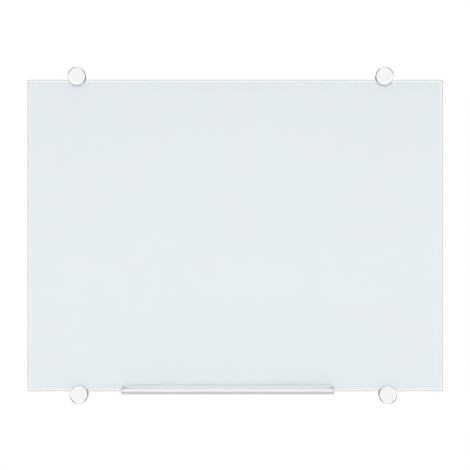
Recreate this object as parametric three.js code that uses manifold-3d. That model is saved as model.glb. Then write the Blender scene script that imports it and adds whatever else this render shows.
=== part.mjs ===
// Glass whiteboard with four edge-grip wall holders and a clip-on pen tray.
// Millimetres, +Z up, the front faces -Y. The origin is the middle of the glass, on the wall plane.

import * as THREE from 'three';
import { mergeVertices } from 'three/addons/utils/BufferGeometryUtils.js';
import Module from 'manifold-3d';

const wasm = await Module();
wasm.setup();

// Glass panel
const glassWidth = 600;
const glassHeight = 450;
const glassThickness = 4;
const glassCornerRadius = 1.5;
const glassArris = 1.2;

// White coat on the back of the glass
const coatThickness = 0.2;
const coatEdgeMargin = 2.6;

// Steel sheet bonded behind the coat
const sheetThickness = 0.5;
const sheetEdgeMargin = 24;
const sheetCornerRadius = 6;

// Places of the holders: from the near side edge of the glass to the holder's axis
const topLeftInset = 71.2;
const topRightInset = 84.2;
const bottomLeftInset = 74.4;
const bottomRightInset = 79.5;

// Barrel, which keeps the glass off the wall
const barrelRadius = 12;
const barrelLength = 15;
const barrelChamfer = 0.6;
const barrelFloor = 3.5;

// Threaded stud in the cap, and the plain clearance round its thread
const studRadius = 4;
const studPitch = 1.25;
const engagedTurns = 6;
const studPointLength = 0.8;
const threadClearance = 0.15;

// Wall screw
const screwShankRadius = 1.75;
const screwHeadRadius = 3.25;
const screwRim = 0.3;
const screwLength = 35;
const screwPointLength = 6;
const screwTipRadius = 0.15;
const screwClearance = 0.2;

// Washers and sleeve of clear plastic round the stud
const washerThickness = 1;
const rearWasherSetback = 0.5;
const frontWasherSetback = 1.5;
const sleeveWall = 0.4;

// Running gap between a sleeve and the edge of the glass: the panel rests on the lower pair
const restGap = 0.1;
const upperSlack = 0.4;

// Cap
const capRadius = 13;
const capThickness = 5.5;
const capFillet = 3.2;
const capChamfer = 0.4;
const capBoreDepth = 3.5;

// Pen tray: an extruded section that clips over the lower edge of the glass
const trayLength = 303;
const trayOffset = -10.8;
const trayWall = 1.5;
const trayFrontLegHeight = 8.6;
const trayRearLegHeight = 8;
const trayWebGap = 0.3;
const trayProjection = 40.8;
const trayFloorRadius = 62;
const trayLipFoot = 3.5;
const trayLipHeight = 7;
const trayLipThickness = 1.8;

// End caps of the tray
const endCapThickness = 2;
const endCapSpigotDepth = 5;
const endCapSpigotWall = 1.2;
const endCapClearance = 0.3;
const endCapCorner = 1.2;

// Soft strips inside the tray's clip
const gripThickness = 0.6;
const gripHeight = 6;
const gripBottomMargin = 1.2;
const gripEndMargin = 10;

// Facets: steps round a full turn, along the trough's arc, and round a small arc
const largeTurnSteps = 48;
const smallTurnSteps = 32;
const screwTurnSteps = 20;
const filletSteps = 5;
const arcSteps = 12;

// Depths in front of the wall, from the stack of pieces in a holder
const coatBack = barrelLength + washerThickness;
const glassBack = coatBack + coatThickness;
const glassFront = glassBack + glassThickness;
const capBack = glassFront + washerThickness;

// Radii that the stud sets
const studBore = studRadius + threadClearance;
const sleeveRadius = studBore + sleeveWall;
const studLength = capBoreDepth + capBack - barrelLength + engagedTurns * studPitch;

const chrome = new THREE.MeshStandardMaterial({ color: 0xe9ebed, roughness: 0.12, metalness: 1 });
const zincSteel = new THREE.MeshStandardMaterial({ color: 0xb9bdc2, roughness: 0.35, metalness: 1 });
const clearPlastic = new THREE.MeshStandardMaterial({ color: 0xe6edf0, roughness: 0.25, metalness: 0 });
const anodised = new THREE.MeshStandardMaterial({ color: 0xdcdae2, roughness: 0.32, metalness: 0.9 });
const endCapPlastic = new THREE.MeshStandardMaterial({ color: 0xc9c8d0, roughness: 0.45, metalness: 0 });
const gripRubber = new THREE.MeshStandardMaterial({ color: 0x8f9296, roughness: 0.8, metalness: 0 });
const panelGlass = new THREE.MeshStandardMaterial({ color: 0xe4ecee, roughness: 0.05, metalness: 0 });
const whiteCoat = new THREE.MeshStandardMaterial({ color: 0xeef3f4, roughness: 0.6, metalness: 0 });
const galvanised = new THREE.MeshStandardMaterial({ color: 0xaeb4b9, roughness: 0.4, metalness: 1 });

function named(name, geometry, material) {
  const mesh = new THREE.Mesh(geometry, material.clone());
  mesh.name = name;
  return mesh;
}

// A solid of revolution about +Y, from [radius, height] points run up the outside and down the inside.
function turned(points, steps) {
  const outlinePoints = points.map(([radius, height]) => new THREE.Vector2(radius, height));
  return new THREE.LatheGeometry(outlinePoints, steps);
}

// Points of an arc about a centre, both ends included.
function arcPoints(centreU, centreV, radius, startAngle, endAngle, steps) {
  return Array.from({ length: steps + 1 }, (_, i) => {
    const angle = startAngle + ((endAngle - startAngle) * i) / steps;
    return [centreU + radius * Math.cos(angle), centreV + radius * Math.sin(angle)];
  });
}

function outline(points) {
  return new THREE.Shape(points.map(([u, v]) => new THREE.Vector2(u, v)));
}

function prism(shape, depth) {
  return new THREE.ExtrudeGeometry(shape, { depth, bevelEnabled: false });
}

function toManifold(geometry) {
  const bare = geometry.clone();
  bare.deleteAttribute('normal');
  bare.deleteAttribute('uv');
  const merged = mergeVertices(bare);
  const vertProperties = new Float32Array(merged.attributes.position.array);
  const triVerts = new Uint32Array(merged.index.array);
  return new wasm.Manifold(new wasm.Mesh({ numProp: 3, vertProperties, triVerts }));
}

function fromManifold(solid) {
  const mesh = solid.getMesh();
  const geometry = new THREE.BufferGeometry();
  geometry.setAttribute('position', new THREE.BufferAttribute(mesh.vertProperties, 3));
  geometry.setIndex(new THREE.BufferAttribute(mesh.triVerts, 1));
  geometry.computeVertexNormals();
  return geometry;
}

// A rectangle about the origin with rounded corners.
function roundedRectangle(width, height, radius) {
  const right = width / 2 - radius;
  const top = height / 2 - radius;
  const quarter = Math.PI / 2;
  const corners = [[right, top], [-right, top], [-right, -top], [right, -top]];
  return corners.flatMap(([u, v], i) => {
    const start = i * quarter;
    return arcPoints(u, v, radius, start, start + quarter, filletSteps);
  });
}

// The toughened sheet, its edges ground to an arris front and back.
function glassPanel() {
  const flat = outline(roundedRectangle(
    glassWidth - 2 * glassArris, glassHeight - 2 * glassArris, glassCornerRadius - glassArris,
  ));
  const geometry = new THREE.ExtrudeGeometry(flat, {
    depth: glassThickness - 2 * glassArris,
    bevelThickness: glassArris,
    bevelSize: glassArris,
    bevelSegments: 1,
  });
  geometry.translate(0, 0, glassArris);
  return named('glass_panel', geometry, panelGlass);
}

function backCoat() {
  const margin = coatEdgeMargin;
  const shape = outline(roundedRectangle(
    glassWidth - 2 * margin, glassHeight - 2 * margin, glassCornerRadius,
  ));
  return named('white_back_coat', prism(shape, coatThickness), whiteCoat);
}

function steelSheet() {
  const margin = sheetEdgeMargin;
  const shape = outline(roundedRectangle(
    glassWidth - 2 * margin, glassHeight - 2 * margin, sheetCornerRadius,
  ));
  return named('magnetic_steel_sheet', prism(shape, sheetThickness), galvanised);
}

// Glass, coat and steel sheet, stacked forwards from the sheet's back face.
function panel() {
  const group = new THREE.Group();
  group.rotation.x = Math.PI / 2;
  const glass = glassPanel();
  glass.position.z = glassBack;
  const coat = backCoat();
  coat.position.z = coatBack;
  const sheet = steelSheet();
  sheet.position.z = coatBack - sheetThickness;
  group.add(glass, coat, sheet);
  return group;
}

// Spacer with a threaded bore for the stud and a countersunk hole for the wall screw in its floor.
function barrel(place) {
  const hole = screwShankRadius + screwClearance;
  const sink = screwHeadRadius + screwClearance;
  const rim = barrelRadius - barrelChamfer;
  const geometry = turned([
    [hole, 0],
    [rim, 0],
    [barrelRadius, barrelChamfer],
    [barrelRadius, barrelLength - barrelChamfer],
    [rim, barrelLength],
    [studBore, barrelLength],
    [studBore, barrelFloor],
    [sink, barrelFloor],
    [hole, barrelFloor - (sink - hole)],
    [hole, 0],
  ], largeTurnSteps);
  return named(`${place}_barrel`, geometry, chrome);
}

// Countersunk wood screw, head forwards, seated in the barrel's floor.
function wallScrew(place) {
  const headCone = screwHeadRadius - screwShankRadius;
  const geometry = turned([
    [0, 0],
    [screwTipRadius, 0],
    [screwShankRadius, screwPointLength],
    [screwShankRadius, screwLength - screwRim - headCone],
    [screwHeadRadius, screwLength - screwRim],
    [screwHeadRadius, screwLength],
    [0, screwLength],
  ], screwTurnSteps);
  const mesh = named(`${place}_wall_screw`, geometry, zincSteel);
  mesh.position.y = barrelFloor + screwRim - screwLength;
  return mesh;
}

function ring(name, inner, outer, length, steps, material) {
  const geometry = turned([[inner, 0], [outer, 0], [outer, length], [inner, length], [inner, 0]], steps);
  return named(name, geometry, material);
}

function rearWasher(place) {
  const radius = barrelRadius - rearWasherSetback;
  const name = `${place}_rear_washer`;
  const mesh = ring(name, studBore, radius, washerThickness, largeTurnSteps, clearPlastic);
  mesh.position.y = barrelLength;
  return mesh;
}

// Tube round the stud, as long as the panel is thick, so that the glass never touches metal.
function sleeve(place) {
  const length = glassFront - coatBack;
  const mesh = ring(`${place}_sleeve`, studBore, sleeveRadius, length, smallTurnSteps, clearPlastic);
  mesh.position.y = coatBack;
  return mesh;
}

function frontWasher(place) {
  const radius = capRadius - frontWasherSetback;
  const name = `${place}_front_washer`;
  const mesh = ring(name, studBore, radius, washerThickness, largeTurnSteps, clearPlastic);
  mesh.position.y = glassFront;
  return mesh;
}

// Flat polished disc with a wide round rim, bored from behind for the stud.
function cap(place) {
  const rimCentre = [capRadius - capFillet, capThickness - capFillet];
  const rim = arcPoints(...rimCentre, capFillet, 0, Math.PI / 2, filletSteps);
  const geometry = turned([
    [0, capBoreDepth],
    [studBore, capBoreDepth],
    [studBore, 0],
    [capRadius - capChamfer, 0],
    [capRadius, capChamfer],
    ...rim,
    [0, capThickness],
  ], largeTurnSteps);
  const mesh = named(`${place}_cap`, geometry, chrome);
  mesh.position.y = capBack;
  return mesh;
}

function capStud(place) {
  const geometry = turned([
    [0, 0],
    [studRadius - studPointLength, 0],
    [studRadius, studPointLength],
    [studRadius, studLength],
    [0, studLength],
  ], smallTurnSteps);
  const mesh = named(`${place}_cap_stud`, geometry, zincSteel);
  mesh.position.y = capBack + capBoreDepth - studLength;
  return mesh;
}

// One holder, with its axis along its own +Y, which points away from the wall.
function holder(place, x, z) {
  const group = new THREE.Group();
  group.position.set(x, 0, z);
  group.rotation.x = Math.PI;
  const makers = [barrel, wallScrew, rearWasher, sleeve, frontWasher, cap, capStud];
  makers.forEach((make) => group.add(make(place)));
  return group;
}

function holders() {
  const side = glassWidth / 2;
  const lower = -glassHeight / 2 - sleeveRadius - restGap;
  const upper = glassHeight / 2 + sleeveRadius + restGap + upperSlack;
  return [
    holder('top_left', topLeftInset - side, upper),
    holder('top_right', side - topRightInset, upper),
    holder('bottom_left', bottomLeftInset - side, lower),
    holder('bottom_right', side - bottomRightInset, lower),
  ];
}

// Section of the tray: u is the depth in front of the wall, v the height above the glass's lower edge.
const section = {
  rearLegBack: coatBack - gripThickness - trayWall,
  rearLegFront: coatBack - gripThickness,
  frontLegBack: glassFront + gripThickness,
  frontLegFront: glassFront + gripThickness + trayWall,
  webTop: -trayWebGap,
  webUnder: -trayWebGap - trayWall,
  lipFront: glassFront + trayProjection,
  lipBack: glassFront + trayProjection - trayLipThickness,
};

// Centre of the trough's underside arc, which joins the web to the foot of the lip.
function troughCentre() {
  const du = section.lipFront - section.frontLegFront;
  const dv = trayLipFoot - section.webUnder;
  const chord = Math.hypot(du, dv);
  const rise = Math.sqrt(trayFloorRadius ** 2 - (chord / 2) ** 2);
  return [
    section.frontLegFront + du / 2 - (dv / chord) * rise,
    section.webUnder + dv / 2 + (du / chord) * rise,
  ];
}

// Points along the trough at a radius, from one depth to another.
function troughArc(radius, fromU, toU) {
  const [u, v] = troughCentre();
  const angleAt = (depth) => -Math.acos((depth - u) / radius);
  return arcPoints(u, v, radius, angleAt(fromU), angleAt(toU), arcSteps);
}

function roundTop(frontU, backU, top) {
  const radius = (frontU - backU) / 2;
  return arcPoints(backU + radius, top - radius, radius, 0, Math.PI, filletSteps);
}

function trayProfile() {
  const s = section;
  const shape = outline([
    [s.rearLegBack, s.webUnder],
    ...troughArc(trayFloorRadius, s.frontLegFront, s.lipFront),
    ...roundTop(s.lipFront, s.lipBack, trayLipHeight),
    ...troughArc(trayFloorRadius - trayWall, s.lipBack, s.frontLegFront),
    ...roundTop(s.frontLegFront, s.frontLegBack, trayFrontLegHeight),
    [s.frontLegBack, s.webTop],
    [s.rearLegFront, s.webTop],
    ...roundTop(s.rearLegFront, s.rearLegBack, trayRearLegHeight),
  ]);
  return named('pen_tray', prism(shape, trayLength - 2 * endCapThickness), anodised);
}

// Closing plate of the trough, with its front upper corner rounded.
function endPlateShape() {
  const s = section;
  const corner = arcPoints(
    s.lipFront - endCapCorner, trayLipHeight - endCapCorner, endCapCorner, 0, Math.PI / 2, filletSteps,
  );
  return outline([
    [s.frontLegBack, s.webUnder],
    ...troughArc(trayFloorRadius, s.frontLegFront, s.lipFront),
    ...corner,
    [s.frontLegFront, trayFrontLegHeight],
    [s.frontLegBack, trayFrontLegHeight],
  ]);
}

// Curved tongue that pushes into the trough and lies along its floor.
function spigotShape() {
  const outer = trayFloorRadius - trayWall - endCapClearance;
  const back = section.frontLegFront + endCapClearance;
  const front = section.lipBack - endCapClearance;
  return outline([
    ...troughArc(outer, back, front),
    ...troughArc(outer - endCapSpigotWall, front, back),
  ]);
}

// An end cap whose inner face is at zero: the plate lies on one side of it and the tongue on the other.
function endCap(name, outwards) {
  const overlap = endCapThickness / 2;
  const plate = prism(endPlateShape(), endCapThickness);
  const tongue = prism(spigotShape(), endCapSpigotDepth + overlap);
  plate.translate(0, 0, outwards > 0 ? 0 : -endCapThickness);
  tongue.translate(0, 0, outwards > 0 ? -endCapSpigotDepth : -overlap);
  return named(name, fromManifold(toManifold(plate).add(toManifold(tongue))), endCapPlastic);
}

function grip(name, backU) {
  const shape = outline([
    [backU, gripBottomMargin],
    [backU + gripThickness, gripBottomMargin],
    [backU + gripThickness, gripBottomMargin + gripHeight],
    [backU, gripBottomMargin + gripHeight],
  ]);
  return named(name, prism(shape, trayLength - 2 * gripEndMargin), gripRubber);
}

// The tray, with the section's u along -Y and v along +Z, so that its extrusions run along -X.
function penTray() {
  const group = new THREE.Group();
  const basis = new THREE.Matrix4().makeBasis(
    new THREE.Vector3(0, -1, 0), new THREE.Vector3(0, 0, 1), new THREE.Vector3(-1, 0, 0),
  );
  group.quaternion.setFromRotationMatrix(basis);
  group.position.set(trayOffset, 0, -glassHeight / 2);
  const end = trayLength / 2 - endCapThickness;
  const profile = trayProfile();
  profile.position.z = -end;
  const left = endCap('pen_tray_left_end_cap', 1);
  left.position.z = end;
  const right = endCap('pen_tray_right_end_cap', -1);
  right.position.z = -end;
  const frontGrip = grip('pen_tray_front_grip', glassFront);
  const rearGrip = grip('pen_tray_rear_grip', coatBack - gripThickness);
  frontGrip.position.z = gripEndMargin - trayLength / 2;
  rearGrip.position.z = gripEndMargin - trayLength / 2;
  group.add(profile, left, right, frontGrip, rearGrip);
  return group;
}

const whiteboard = new THREE.Group();
whiteboard.name = 'glass_whiteboard';
whiteboard.add(panel(), ...holders(), penTray());

export default whiteboard;
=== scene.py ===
"""Glass whiteboard on four edge-grip wall holders, with a clip-on pen tray.

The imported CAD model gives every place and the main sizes, and this script dresses it.
Lengths are metres. X runs to the right, Y away from the viewer and Z up, and the wall plane is Y = 0.
"""

from __future__ import annotations

import logging
import math
from collections.abc import Sequence
from dataclasses import dataclass
from enum import Enum

import bmesh
import bpy
from mathutils import Matrix, Vector


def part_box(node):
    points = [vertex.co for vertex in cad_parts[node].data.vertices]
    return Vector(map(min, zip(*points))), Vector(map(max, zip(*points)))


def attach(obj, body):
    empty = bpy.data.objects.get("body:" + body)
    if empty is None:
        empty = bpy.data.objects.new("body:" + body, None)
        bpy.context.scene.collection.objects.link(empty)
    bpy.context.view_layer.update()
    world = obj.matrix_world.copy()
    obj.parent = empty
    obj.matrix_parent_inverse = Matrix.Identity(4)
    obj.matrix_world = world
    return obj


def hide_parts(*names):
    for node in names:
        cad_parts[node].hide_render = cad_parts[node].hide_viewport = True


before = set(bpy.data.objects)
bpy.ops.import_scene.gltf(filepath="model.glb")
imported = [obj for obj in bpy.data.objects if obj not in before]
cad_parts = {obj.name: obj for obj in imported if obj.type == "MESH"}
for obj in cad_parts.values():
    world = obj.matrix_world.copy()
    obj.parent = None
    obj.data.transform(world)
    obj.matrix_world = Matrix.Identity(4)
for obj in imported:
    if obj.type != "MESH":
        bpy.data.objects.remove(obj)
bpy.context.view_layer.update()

log = logging.getLogger("whiteboard")

MM = 0.001
QUARTER_TURN = math.pi / 2
FULL_TURN = 2 * math.pi
WHITE = (1.0, 1.0, 1.0, 1.0)
# Points that lie closer together than this become one point.
JOIN_GAP = MM / 1000
# Neighbouring faces that turn by less than this are shaded smooth.
SMOOTH_TURN = math.radians(32)
# A Mix node has its inputs once for each type of value, so they go by index.
MIX_SHARE, MIX_VALUE_A, MIX_VALUE_B, MIX_COLOUR_A, MIX_COLOUR_B = 0, 2, 3, 6, 7
MIXED_VALUE, MIXED_COLOUR = 0, 2
# An area lamp needs four watts a square metre for its face to be as bright as white.
LAMP_WATTS = 4
# Noise stays mostly between these values, which are spread to the full range from zero to one.
NOISE_SPAN = (0.3, 0.7)

Point = tuple[float, float]
Triple = tuple[float, float, float]


class Place(Enum):
    """The four holders, by the corner of the board that each one grips."""

    TOP_LEFT = "top_left"
    TOP_RIGHT = "top_right"
    BOTTOM_LEFT = "bottom_left"
    BOTTOM_RIGHT = "bottom_right"


class Side(Enum):
    """The two ends of the pen tray, each with the direction that it faces along X."""

    LEFT = -1
    RIGHT = 1


@dataclass(frozen=True)
class Box:
    """Box of one CAD node at rest."""

    low: Vector
    high: Vector

    @classmethod
    def of(cls, node: str) -> Box:
        """Box of a CAD node."""
        return cls(*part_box(node))

    @property
    def centre(self) -> Vector:
        """Middle of the box."""
        return (self.low + self.high) / 2

    @property
    def radius(self) -> float:
        """Radius of a turned part, whose axis is along Y."""
        return (self.high.x - self.low.x) / 2

    @property
    def back(self) -> float:
        """Distance of the piece's back from the wall plane."""
        return -self.high.y

    @property
    def front(self) -> float:
        """Distance of the piece's front from the wall plane."""
        return -self.low.y


def linear_colour(code: str) -> tuple[float, float, float, float]:
    """Turn an sRGB hex value into linear light.

    Args:
        code: Six hex digits after a hash sign.

    Returns:
        Red, green, blue, and an alpha of one.
    """
    channels = [int(code[i : i + 2], 16) / 255 for i in (1, 3, 5)]
    # The sRGB curve is a straight line near black and a power above it.
    linear = [c / 12.92 if c <= 0.04045 else ((c + 0.055) / 1.055) ** 2.4 for c in channels]
    return (*linear, 1.0)


def add_node(
    tree: bpy.types.NodeTree, kind: str, inputs: dict[str | int, object] | None = None, **settings: object
) -> bpy.types.Node:
    """Add a node to a tree, with its settings, its values and its links.

    Args:
        tree: Node tree that gets the node.
        kind: Type of the node.
        inputs: For each input, by name or index, its value or the output that feeds it.
        **settings: The node's own attributes.

    Returns:
        The new node.
    """
    node = tree.nodes.new(kind)
    for name, value in settings.items():
        setattr(node, name, value)
    for key, value in (inputs or {}).items():
        if isinstance(value, bpy.types.NodeSocket):
            tree.links.new(value, node.inputs[key])
        else:
            node.inputs[key].default_value = value
    return node


def new_material(name: str) -> tuple[bpy.types.Material, bpy.types.NodeTree]:
    """Make a material with an empty node tree, which keeps its name as a property too.

    Args:
        name: Slot of the record that the finish fills, or the name of a stage finish.

    Returns:
        The material and its node tree.
    """
    material = bpy.data.materials.new(name)
    # Blender numbers the name of a second material of one name, but not this.
    material["slot"] = name
    material.use_nodes = True
    material.node_tree.nodes.clear()
    return material, material.node_tree


@dataclass(frozen=True)
class Grain:
    """A fine pattern in a surface.

    Attributes:
        spacing: Size of one grain.
        stretch: How much closer the grains lie along each axis.
        roughness: Lowest and highest roughness that the grain gives.
        tone: How far the grain darkens the colour at most.
        height: Height of the grain's relief.
        detail: Layers of finer noise in the grain.
    """

    spacing: float
    roughness: Point
    stretch: Triple = (1.0, 1.0, 1.0)
    tone: float = 0.0
    height: float = 0.0
    detail: float = 3.0


@dataclass(frozen=True)
class Finish:
    """A finish with one base colour and a grain in it.

    Attributes:
        slot: Material slot of the record.
        colour: Base colour as an sRGB hex value.
        metallic: One for a metal and zero for anything else.
        alpha: How much the piece covers what lies behind it.
    """

    slot: str
    colour: str
    grain: Grain
    metallic: float = 0.0
    alpha: float = 1.0

    def pattern(self, tree: bpy.types.NodeTree) -> bpy.types.NodeSocket:
        """Make the grain on Object coordinates.

        Args:
            tree: Node tree of the material.

        Returns:
            Height of the grain, from zero to one.
        """
        place = add_node(tree, "ShaderNodeTexCoord")
        mapping = add_node(
            tree, "ShaderNodeMapping", {"Vector": place.outputs["Object"], "Scale": self.grain.stretch}
        )
        noise = add_node(
            tree,
            "ShaderNodeTexNoise",
            {
                "Vector": mapping.outputs["Vector"],
                "Scale": 1 / self.grain.spacing,
                "Detail": self.grain.detail,
            },
        )
        spread = add_node(
            tree,
            "ShaderNodeMapRange",
            {"Value": noise.outputs["Fac"], "From Min": NOISE_SPAN[0], "From Max": NOISE_SPAN[1]},
        )
        return spread.outputs["Result"]

    def material(self) -> bpy.types.Material:
        """Build the finish, with colour, roughness and relief from its grain.

        Returns:
            The material.
        """
        material, tree = new_material(self.slot)
        grain = self.pattern(tree)
        full = linear_colour(self.colour)
        dark = (*(c * (1 - self.grain.tone) for c in full[:3]), 1.0)
        tint = add_node(
            tree,
            "ShaderNodeMix",
            {MIX_SHARE: grain, MIX_COLOUR_A: dark, MIX_COLOUR_B: full},
            data_type="RGBA",
        )
        low, high = self.grain.roughness
        rough = add_node(tree, "ShaderNodeMapRange", {"Value": grain, "To Min": low, "To Max": high})
        surface = add_node(
            tree,
            "ShaderNodeBsdfPrincipled",
            {
                "Base Color": tint.outputs[MIXED_COLOUR],
                "Metallic": self.metallic,
                "Roughness": rough.outputs["Result"],
                "Alpha": self.alpha,
            },
        )
        if self.grain.height:
            relief = add_node(tree, "ShaderNodeBump", {"Height": grain, "Distance": self.grain.height})
            tree.links.new(relief.outputs["Normal"], surface.inputs["Normal"])
        add_node(tree, "ShaderNodeOutputMaterial", {"Surface": surface.outputs["BSDF"]})
        return material


@dataclass(frozen=True)
class SpangledSteel:
    """Hot-dip galvanised steel: zinc that froze in feathered crystals, each one its own grey and gloss.

    Attributes:
        slot: Material slot that the finish fills.
        dark_crystal: Colour of the darkest crystals.
        light_crystal: Colour of the lightest ones.
        crystal: Size of a crystal.
        ragged: How far the edges of a crystal wander.
        wander: Size of the noise that makes them wander.
        feather: Width and length of the streaks in a crystal; real ones are finer than a render can draw.
        feathering: Share of the tone that the streaks give.
        roughness: Roughness of the glossiest and of the dullest crystals.
        detail: Layers of finer noise in the edges and the streaks.
    """

    slot: str = "galvanised_steel"
    dark_crystal: str = "#A3A9AD"
    light_crystal: str = "#CFD3D6"
    crystal: float = 9 * MM
    ragged: float = 2.5 * MM
    wander: float = 4 * MM
    feather: Point = (0.7 * MM, 7 * MM)
    feathering: float = 0.45
    roughness: Point = (0.32, 0.52)
    detail: float = 2.0

    def material(self) -> bpy.types.Material:
        """Build the finish: ragged cells, streaked along a line that differs from crystal to crystal.

        Returns:
            The material.
        """
        material, tree = new_material(self.slot)
        place = add_node(tree, "ShaderNodeTexCoord").outputs["Object"]
        drift = add_node(
            tree, "ShaderNodeTexNoise", {"Vector": place, "Scale": 1 / self.wander, "Detail": self.detail}
        )
        shifted = add_node(
            tree,
            "ShaderNodeVectorMath",
            {0: drift.outputs["Color"], 1: (self.ragged,) * 3, 2: place},
            operation="MULTIPLY_ADD",
        )
        cells = add_node(
            tree, "ShaderNodeTexVoronoi", {"Vector": shifted.outputs["Vector"], "Scale": 1 / self.crystal}
        )
        share = add_node(tree, "ShaderNodeSeparateColor", {"Color": cells.outputs["Color"]}).outputs
        grown = add_node(tree, "ShaderNodeMath", {0: share["Blue"], 1: FULL_TURN}, operation="MULTIPLY")
        along = add_node(
            tree,
            "ShaderNodeVectorRotate",
            {"Vector": place, "Angle": grown.outputs["Value"]},
            rotation_type="Y_AXIS",
        )
        width, length = self.feather
        drawn = add_node(
            tree,
            "ShaderNodeVectorMath",
            {0: along.outputs["Vector"], 1: (1 / width, 1 / width, 1 / length)},
            operation="MULTIPLY",
        )
        streaks = add_node(
            tree,
            "ShaderNodeTexNoise",
            {"Vector": drawn.outputs["Vector"], "Scale": 1.0, "Detail": self.detail},
        )
        tone = add_node(
            tree,
            "ShaderNodeMix",
            {MIX_SHARE: self.feathering, MIX_VALUE_A: share["Red"], MIX_VALUE_B: streaks.outputs["Fac"]},
            data_type="FLOAT",
        )
        tint = add_node(
            tree,
            "ShaderNodeMix",
            {
                MIX_SHARE: tone.outputs[MIXED_VALUE],
                MIX_COLOUR_A: linear_colour(self.dark_crystal),
                MIX_COLOUR_B: linear_colour(self.light_crystal),
            },
            data_type="RGBA",
        )
        rough = add_node(
            tree,
            "ShaderNodeMapRange",
            {"Value": share["Green"], "To Min": self.roughness[0], "To Max": self.roughness[1]},
        )
        surface = add_node(
            tree,
            "ShaderNodeBsdfPrincipled",
            {
                "Base Color": tint.outputs[MIXED_COLOUR],
                "Metallic": 1.0,
                "Roughness": rough.outputs["Result"],
            },
        )
        add_node(tree, "ShaderNodeOutputMaterial", {"Surface": surface.outputs["BSDF"]})
        return material


@dataclass(frozen=True)
class ClearGlass:
    """Toughened soda-lime glass, polished: clear, with a mirror gloss that grows at a slant.

    Attributes:
        slot: Material slot that the finish fills.
        tint: Colour that one face gives to the light that crosses it.
        index: Index of refraction, which sets the gloss.
        roughness: Roughness of the polished faces.
    """

    slot: str = "toughened_glass"
    tint: str = "#FEFFFF"
    index: float = 1.52
    roughness: float = 0.01

    def material(self) -> bpy.types.Material:
        """Build the finish: straight-through clear, with gloss on the outer side of each face only.

        Returns:
            The material.
        """
        material, tree = new_material(self.slot)
        fresnel = add_node(tree, "ShaderNodeFresnel", {"IOR": self.index})
        geometry = add_node(tree, "ShaderNodeNewGeometry")
        outside = add_node(
            tree, "ShaderNodeMath", {0: 1.0, 1: geometry.outputs["Backfacing"]}, operation="SUBTRACT"
        )
        share = add_node(
            tree,
            "ShaderNodeMath",
            {0: fresnel.outputs["Fac"], 1: outside.outputs["Value"]},
            operation="MULTIPLY",
        )
        clear = add_node(tree, "ShaderNodeBsdfTransparent", {"Color": linear_colour(self.tint)})
        gloss = add_node(tree, "ShaderNodeBsdfAnisotropic", {"Roughness": self.roughness})
        surface = add_node(
            tree,
            "ShaderNodeMixShader",
            {0: share.outputs["Value"], 1: clear.outputs["BSDF"], 2: gloss.outputs["BSDF"]},
        )
        add_node(tree, "ShaderNodeOutputMaterial", {"Surface": surface.outputs["Shader"]})
        return material


# Ground glass edge: cut by a diamond wheel, so it is matt, and the green of the glass shows through a haze.
GROUND_EDGE = Finish(
    slot="toughened_glass",
    colour="#E2E8E7",
    grain=Grain(spacing=0.6 * MM, roughness=(0.4, 0.55), tone=0.04, height=0.01 * MM),
)

# Back paint: a fired enamel, smooth and even, with the faintest orange peel.
WHITE_ENAMEL = Finish(
    slot="white_coat",
    colour="#EAEDF0",
    grain=Grain(spacing=3 * MM, roughness=(0.4, 0.5), tone=0.006, height=0.005 * MM),
)

# Polished chrome: a bright plate on turned brass, buffed to a mirror, with a faint haze from wiping.
POLISHED_CHROME = Finish(
    slot="polished_chrome",
    colour="#F4F5F5",
    grain=Grain(spacing=7 * MM, roughness=(0.03, 0.07), tone=0.01),
    metallic=1.0,
)

# Zinc-plated steel: a thin bluish plate on cut threads, dull and a little cloudy.
ZINC_PLATE = Finish(
    slot="zinc_plated_steel",
    colour="#BFC4C8",
    grain=Grain(spacing=1.2 * MM, roughness=(0.25, 0.42), tone=0.12, height=0.01 * MM),
    metallic=1.0,
)

# Clear soft PVC: stamped washers and cut tube, see-through with a slightly milky skin.
CLEAR_PVC = Finish(
    slot="clear_plastic",
    colour="#E6EDF0",
    grain=Grain(spacing=2 * MM, roughness=(0.18, 0.3), tone=0.03),
    alpha=0.55,
)

# Satin anodised aluminium: extruded, so faint die lines run along it, then etched and anodised.
# Real die lines lie about 0.2 mm apart; they are drawn at 0.8 mm so that they show at all.
SATIN_ANODISED = Finish(
    slot="anodised_aluminium",
    colour="#F1F3F6",
    grain=Grain(
        spacing=0.8 * MM, roughness=(0.3, 0.38), stretch=(0.004, 1.0, 1.0), tone=0.03, height=0.004 * MM
    ),
    metallic=1.0,
)

# Moulded ABS: a fine spark-eroded texture that takes the shine off.
MOULDED_ABS = Finish(
    slot="end_cap_plastic",
    colour="#E0E1E8",
    grain=Grain(spacing=0.5 * MM, roughness=(0.42, 0.52), tone=0.03, height=0.02 * MM),
)

# Soft thermoplastic rubber: matt grey, with a dusty skin.
SOFT_RUBBER = Finish(
    slot="grip_rubber",
    colour="#8F9296",
    grain=Grain(spacing=0.4 * MM, roughness=(0.7, 0.85), tone=0.08, height=0.02 * MM),
)


class Finishes:
    """All materials of the object, each one built once."""

    def __init__(self) -> None:
        """Build every finish."""
        self.glass = ClearGlass().material()
        self.ground_edge = GROUND_EDGE.material()
        self.ground_edge.name = "ground_glass_edge"
        self.enamel = WHITE_ENAMEL.material()
        self.steel = SpangledSteel().material()
        self.chrome = POLISHED_CHROME.material()
        self.zinc = ZINC_PLATE.material()
        self.pvc = CLEAR_PVC.material()
        self.aluminium = SATIN_ANODISED.material()
        self.abs = MOULDED_ABS.material()
        self.rubber = SOFT_RUBBER.material()


def arc(centre: Point, radius: float, start: float, end: float, steps: int) -> list[Point]:
    """Points of an arc, both ends included.

    Args:
        centre: Centre of the arc.
        radius: Radius of the arc.
        start: Angle of the first point, in radians.
        end: Angle of the last point, in radians.
        steps: Number of straight steps.

    Returns:
        The points in order.
    """
    angles = [start + (end - start) * i / steps for i in range(steps + 1)]
    return [(centre[0] + radius * math.cos(a), centre[1] + radius * math.sin(a)) for a in angles]


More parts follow.
